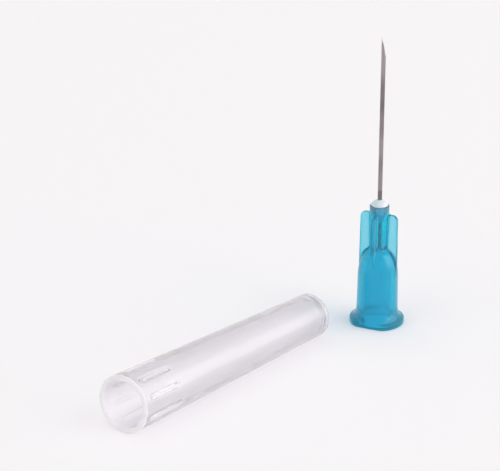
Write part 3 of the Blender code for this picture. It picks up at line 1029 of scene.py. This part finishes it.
def build_metal_lines(name):
    """Fine parallel lines, such as a die or a grinding wheel leaves, and painted reflections, darker
    stretches along Z.

    A band of painted shade is darkest up to its top and fades towards its end, both heights in metres.
    """
    defaults = {
        "Vector": (0.0, 0.0, 0.0),
        "Line Scale": (20000.0, 20000.0, 400.0),
        "Roughness": 0.25,
        "Spread": 0.1,
        "Painted Reflection Scale": 150.0,
        "Painted Reflection Shift": 0.0,
        "Painted Shade Top": 0.0,
        "Painted Shade End": 0.001,
    }
    tree, given = new_group(name, defaults)
    place = stretched(tree, given["Vector"], given["Line Scale"])
    lines = noise(tree, {"Vector": place, "Scale": 1.0, "Detail": 3.0, "Roughness": 0.6})
    tone = ranged(tree, {"Value": lines, "From Min": 0.3, "From Max": 0.7})
    roughness = reckoned(tree, "MULTIPLY_ADD", tone, given["Spread"], given["Roughness"], clamp=True)
    height = new_node(tree, "ShaderNodeSeparateXYZ", {"Vector": given["Vector"]}).outputs["Z"]
    # Painted reflections: slow darker stretches along the tube
    along = reckoned(tree, "MULTIPLY_ADD", height, given["Painted Reflection Scale"], given["Painted Reflection Shift"])
    slow = noise(tree, {"W": along, "Scale": 1.0, "Detail": 1.0}, noise_dimensions="1D")
    painted_dark = ranged(tree, {"Value": slow, "From Min": 0.38, "From Max": 0.62})
    # Painted shade: a dark band on the tube just above the glue
    painted_shade_range = {"From Min": given["Painted Shade Top"], "From Max": given["Painted Shade End"]}
    painted_shade = ranged(tree, {"Value": height, **painted_shade_range, "To Min": 1.0, "To Max": 0.0})
    # The darker of the painted reflections and the painted shade above the glue
    darkest = reckoned(tree, "MAXIMUM", painted_dark, painted_shade)
    put_out(tree, {"Roughness": roughness, "Height": lines, "Tone": tone, "Painted Dark": darkest})
    return tree


def place_group(tree, name, build, values, stretch=NO_STRETCH):
    """Put a node group into a material, fed with the values and the piece's own coordinates.

    The group is built on its first use.
    """
    group = bpy.data.node_groups.get(name) or build(name)
    place = tree.nodes.new("ShaderNodeTexCoord").outputs["Object"]
    if stretch != NO_STRETCH:
        place = stretched(tree, place, stretch)
    return new_node(tree, "ShaderNodeGroup", {**values, "Vector": place}, node_tree=group)


def place_skin(tree, roughness, spread, grain_scale, flow_scale, grain_share, stretch=NO_STRETCH):
    """Put the moulded skin into a material."""
    values = {
        "Roughness": roughness,
        "Spread": spread,
        "Grain Scale": grain_scale,
        "Flow Scale": flow_scale,
        "Grain Share": grain_share,
    }
    return place_group(tree, "moulded_skin", build_moulded_skin, values, stretch)


def new_material(name, **values):
    """A Principled material with values on the shader's own sockets.

    Returns the material, its tree and its shader.
    """
    material = bpy.data.materials.new(name)
    material.use_nodes = True
    tree = material.node_tree
    shader = tree.nodes["Principled BSDF"]
    for label, value in values.items():
        shader.inputs[label.replace("_", " ").title().replace("Ior", "IOR")].default_value = value
    return material, tree, shader


def dress(tree, shader, tone, effect, depth):
    """Feed the shader with the tone, and with the effect's roughness and its relief of the depth."""
    relief = {"Height": effect.outputs["Height"], "Strength": 1.0, "Distance": depth}
    bump = new_node(tree, "ShaderNodeBump", relief)
    feed(tree, shader.inputs["Base Color"], tone)
    feed(tree, shader.inputs["Roughness"], effect.outputs["Roughness"])
    feed(tree, shader.inputs["Normal"], bump.outputs["Normal"])


def absorb(tree, tint, density):
    """Let the plastic take up more light where it is thicker."""
    volume = new_node(tree, "ShaderNodeVolumeAbsorption", {"Color": (*tint, 1.0), "Density": density})
    feed(tree, tree.nodes["Material Output"].inputs["Volume"], volume.outputs["Volume"])


def let_lamps_through(tree, shader, tint):
    """Let the lamps shine through the plastic, tinted, onto what is behind it."""
    shadow = tree.nodes.new("ShaderNodeLightPath").outputs["Is Shadow Ray"]
    clear = new_node(tree, "ShaderNodeBsdfTransparent", {"Color": (*tint, 1.0)})
    surface = shaders_mixed(tree, shadow, shader.outputs["BSDF"], clear.outputs["BSDF"])
    feed(tree, tree.nodes["Material Output"].inputs["Surface"], surface)


# Materials


def tinted_plastic():
    """The hub's translucent teal plastic, paler where it is thin."""
    finish = settings().finish
    material, tree, shader = new_material(
        "hub_tinted_plastic",
        transmission_weight=finish.hub_clear,
        ior=1.49,
        subsurface_weight=0.6,
        subsurface_scale=0.8 * MILLIMETRE,
        subsurface_radius=(0.3, 0.8, 1.0),
    )
    skin = place_skin(
        tree, roughness=0.2, spread=0.06, grain_scale=5000.0, flow_scale=420.0, grain_share=0.25
    )
    thin = new_node(tree, "ShaderNodeAttribute", attribute_name="thin_wall")
    full = mixed(tree, skin.outputs["Flow"], finish.hub_skin, finish.hub_shade)
    tone = mixed(tree, thin.outputs["Fac"], full, finish.hub_thin)
    dress(tree, shader, tone, skin, depth=6 * MICRON)
    absorb(tree, finish.hub_depth, finish.hub_density)
    let_lamps_through(tree, shader, finish.hub_shadow)
    return material


def clear_plastic(name, tones, roughness, **values):
    """The cap's clear, slightly milky plastic, with flow marks along its length."""
    material, tree, shader = new_material(name, ior=1.49, **values)
    skin = place_skin(
        tree,
        roughness,
        spread=0.1,
        grain_scale=2500.0,
        flow_scale=380.0,
        grain_share=0.2,
        stretch=FLOW_STRETCH,
    )
    dress(tree, shader, mixed(tree, skin.outputs["Flow"], *tones), skin, depth=5 * MICRON)
    let_lamps_through(tree, shader, settings().finish.cap_shadow)
    return material


def cap_wall_plastic(name, roughness):
    """One side of the cap's walls, which things show through softly."""
    finish = settings().finish
    tones = (finish.cap_skin, finish.cap_haze)
    return clear_plastic(name, tones, roughness, transmission_weight=finish.cap_clear)


def cap_rim_plastic():
    """The matt face round the cap's mouth, which glows with the light inside the wall."""
    finish = settings().finish
    return clear_plastic(
        "cap_matt_rim",
        (finish.rim_skin, finish.cap_skin),
        roughness=0.4,
        transmission_weight=finish.rim_clear,
        subsurface_weight=1.0,
        subsurface_scale=1.2 * MILLIMETRE,
        subsurface_radius=(1.0, 1.0, 1.0),
    )


def glue():
    """Set glue, glossy and white, with light inside it."""
    finish = settings().finish
    material, tree, shader = new_material(
        "set_glue", subsurface_weight=0.5, subsurface_scale=0.4 * MILLIMETRE, ior=1.5
    )
    skin = place_skin(
        tree, roughness=0.16, spread=0.08, grain_scale=3000.0, flow_scale=900.0, grain_share=0.15
    )
    tone = mixed(tree, skin.outputs["Flow"], finish.glue, finish.glue_clear)
    dress(tree, shader, tone, skin, depth=12 * MICRON)
    return material


def steel_finish(name, tones, roughness, spread, line_scale, depth):
    """Steel with fine lines in the direction that the scale leaves long.

    The tones are the two that its lines mix and the one painted where the steel is darkened by its
    painted reflections and the painted shade above the glue.
    """
    needle = settings()
    # Height up to which shade is painted on the tube above the glue
    painted_shade_top = needle.hub.height + needle.bead.height + PAINTED_SHADE_HEIGHT
    values = {
        "Line Scale": line_scale,
        "Roughness": roughness,
        "Spread": spread,
        "Painted Reflection Shift": PAINTED_REFLECTION_SHIFT,
        "Painted Shade Top": painted_shade_top,
        "Painted Shade End": painted_shade_top + PAINTED_SHADE_FADE,
    }
    material, tree, shader = new_material(name, metallic=1.0)
    lines = place_group(tree, "metal_lines", build_metal_lines, values)
    # The third tone is painted where reflections and shade darken the steel
    first, second, painted_dark = tones
    drawn = mixed(tree, lines.outputs["Tone"], first, second)
    dress(tree, shader, mixed(tree, lines.outputs["Painted Dark"], drawn, painted_dark), lines, depth)
    return material


def drawn_steel():
    """The tube's wall, with draw lines along it."""
    finish = settings().finish
    # The third tone is the painted dark of the reflections and of the shade above the glue
    tones = (finish.steel_dark, finish.steel, finish.steel_painted_dark)
    scale = (14000.0, 14000.0, 160.0)
    return steel_finish(
        "tube_drawn_steel", tones, roughness=0.2, spread=0.16, line_scale=scale, depth=1.5 * MICRON
    )


def ground_steel():
    """The facets of the point, with grinding lines across them."""
    finish = settings().finish
    tones = (finish.steel, finish.ground, finish.steel)
    scale = (900.0, 900.0, 26000.0)
    return steel_finish(
        "point_ground_steel", tones, roughness=0.14, spread=0.12, line_scale=scale, depth=1.5 * MICRON
    )


def bore_steel_painted_shade():
    """The inside of the bore, its steel painted dark for the shade inside the tube."""
    finish = settings().finish
    # Painted shade: dark tones that stand for the shade inside the bore
    tones = (finish.bore, finish.steel_dark, finish.bore)
    scale = (9000.0, 9000.0, 300.0)
    return steel_finish(
        "bore_steel_painted_shade", tones, roughness=0.4, spread=0.2, line_scale=scale, depth=2 * MICRON
    )


# Stage


def floor_material():
    """A plain pale matt floor with a faint tooth."""
    material, tree, shader = new_material("floor_pale", roughness=0.8, specular_ior_level=0.05)
    place = tree.nodes.new("ShaderNodeTexCoord").outputs["Object"]
    tooth = noise(tree, {"Vector": place, "Scale": 900.0, "Detail": 3.0})
    tone = settings().stage.floor
    hollow = [FLOOR_TOOTH * value for value in tone]
    feed(tree, shader.inputs["Base Color"], mixed(tree, tooth, hollow, tone))
    return material


def make_floor():
    """One large flat floor at the height that the pieces stand on."""
    half = settings().stage.floor_size / 2
    mesh = bpy.data.meshes.new("floor")
    corners = [(-half, -half, 0.0), (half, -half, 0.0), (half, half, 0.0), (-half, half, 0.0)]
    mesh.from_pydata(corners, [], [(0, 1, 2, 3)])
    mesh.materials.append(floor_material())
    add_object("floor", mesh)


def camera_axes(stage):
    """The camera's right, up and forward directions."""
    level = math.cos(stage.pitch)
    forward = Vector(
        (level * math.cos(stage.yaw), level * math.sin(stage.yaw), -math.sin(stage.pitch))
    )
    right = forward.cross(Vector((0.0, 0.0, 1.0))).normalized()
    up = right.cross(forward)
    return right, up, forward


def make_camera():
    """The camera, at the needle's side and a little above it."""
    stage = settings().stage
    right, up, forward = camera_axes(stage)
    side = right * math.cos(stage.roll) + up * math.sin(stage.roll)
    head = up * math.cos(stage.roll) - right * math.sin(stage.roll)
    camera = bpy.data.cameras.new("camera")
    camera.lens = stage.lens
    camera.sensor_width = SENSOR_WIDTH
    camera.sensor_fit = "HORIZONTAL"
    camera.clip_start = CLIP_START
    holder = add_object("camera", camera)
    place = Matrix((side, head, -forward)).transposed().to_4x4()
    place.translation = Vector(stage.aim) - forward * stage.distance
    holder.matrix_world = place
    bpy.context.scene.camera = holder


def make_lamp(name, across, towards, up, distance, size, level):
    """A soft square lamp at a distance, in a direction made up of three shares.

    They are across to the camera's right, towards the camera, and up. The level is how bright a
    white surface that faces the lamp would look, if all the light came from the lamp's middle.
    """
    right, _, forward = camera_axes(settings().stage)
    near = Vector((-forward.x, -forward.y, 0.0)).normalized()
    way = (right * across + near * towards + Vector((0.0, 0.0, up))).normalized()
    lamp = bpy.data.lights.new(name, "AREA")
    lamp.shape = "SQUARE"
    lamp.size = size
    lamp.energy = level * (math.pi * distance) ** 2
    holder = add_object(name, lamp)
    holder.location = Vector((0.0, 0.0, LAMP_AIM)) + way * distance
    holder.rotation_euler = way.to_track_quat("Z", "Y").to_euler()


def make_world():
    """An even light, and surroundings that the camera, steel and plastic see, darker overhead."""
    stage = settings().stage
    world = bpy.data.worlds.new("surroundings")
    world.use_nodes = True
    tree = world.node_tree
    lighting = tree.nodes["Background"]
    feed(tree, lighting.inputs["Color"], (*stage.ambient_tint, 1.0))
    feed(tree, lighting.inputs["Strength"], stage.ambient)
    place = tree.nodes.new("ShaderNodeTexCoord").outputs["Generated"]
    rise = new_node(tree, "ShaderNodeSeparateXYZ", {"Vector": place}).outputs["Z"]
    sky_range = {"Value": rise, "From Min": SKY_START, "From Max": 1.0}
    overhead = ranged(tree, sky_range, interpolation_type="SMOOTHSTEP")
    sky = mixed(tree, overhead, stage.side_view, stage.top_view)
    seen = new_node(tree, "ShaderNodeBackground", {"Color": sky, "Strength": 1.0})
    path = tree.nodes.new("ShaderNodeLightPath").outputs
    direct = reckoned(tree, "MAXIMUM", path["Is Camera Ray"], path["Is Glossy Ray"])
    looking = reckoned(tree, "MAXIMUM", direct, path["Is Transmission Ray"])
    surface = shaders_mixed(tree, looking, lighting.outputs["Background"], seen.outputs["Background"])
    feed(tree, tree.nodes["World Output"].inputs["Surface"], surface)
    bpy.context.scene.world = world


def make_stage():
    """Floor, lamps, surroundings, camera and view transform."""
    make_floor()
    make_camera()
    make_lamp("key_lamp", across=0.97, towards=0.15, up=0.55, distance=3.2, size=3.6, level=0.66)
    make_lamp("fill_lamp", across=-0.8, towards=0.6, up=0.8, distance=3.6, size=2.8, level=0.1)
    make_lamp("top_lamp", across=0.0, towards=-0.2, up=1.0, distance=3.6, size=3.2, level=0.26)
    make_world()
    bpy.context.scene.view_settings.view_transform = "Standard"


class NEEDLE_OT_cannula(bpy.types.Operator):
    """Model the steel tube with its bore and ground point."""

    bl_idname = "needle.cannula"
    bl_label = "Steel Tube"

    def execute(self, context):
        make_cannula()
        return {"FINISHED"}


class NEEDLE_OT_hub(bpy.types.Operator):
    """Model the moulded hub."""

    bl_idname = "needle.hub"
    bl_label = "Hub"

    def execute(self, context):
        make_hub()
        return {"FINISHED"}


class NEEDLE_OT_adhesive_bead(bpy.types.Operator):
    """Model the set glue that holds the tube."""

    bl_idname = "needle.adhesive_bead"
    bl_label = "Set Glue"

    def execute(self, context):
        make_adhesive_bead()
        return {"FINISHED"}


class NEEDLE_OT_cap(bpy.types.Operator):
    """Model the clear cap."""

    bl_idname = "needle.cap"
    bl_label = "Cap"

    def execute(self, context):
        make_cap()
        return {"FINISHED"}


class NEEDLE_OT_stage(bpy.types.Operator):
    """Set the floor, the lamps, the surroundings and the camera."""

    bl_idname = "needle.stage"
    bl_label = "Stage"

    def execute(self, context):
        make_stage()
        return {"FINISHED"}


OPERATORS = (
    NEEDLE_OT_cannula,
    NEEDLE_OT_hub,
    NEEDLE_OT_adhesive_bead,
    NEEDLE_OT_cap,
    NEEDLE_OT_stage,
)


class NEEDLE_PT_pieces(bpy.types.Panel):
    """The pieces of the needle and the stage, in the 3D view's sidebar."""

    bl_idname = "NEEDLE_PT_pieces"
    bl_label = "Hypodermic Needle"
    bl_space_type = "VIEW_3D"
    bl_region_type = "UI"
    bl_category = "Needle"

    def draw(self, context):
        for operator in OPERATORS:
            self.layout.operator(operator.bl_idname)


CLASSES = (
    TubeSettings,
    HubSettings,
    BeadSettings,
    CapSettings,
    FinishSettings,
    StageSettings,
    NeedleSettings,
    *OPERATORS,
    NEEDLE_PT_pieces,
)


def register():
    """Register the classes and give the scene its settings."""
    for each in CLASSES:
        bpy.utils.register_class(each)
    bpy.types.Scene.hypodermic_needle = bpy.props.PointerProperty(type=NeedleSettings)


def unregister():
    """Take the settings and the classes away again."""
    del bpy.types.Scene.hypodermic_needle
    for each in reversed(CLASSES):
        bpy.utils.unregister_class(each)


def main():
    """Make every piece and the stage, in order."""
    register()
    for operator in OPERATORS:
        group, name = operator.bl_idname.split(".")
        getattr(getattr(bpy.ops, group), name)()


if __name__ == "__main__":
    main()
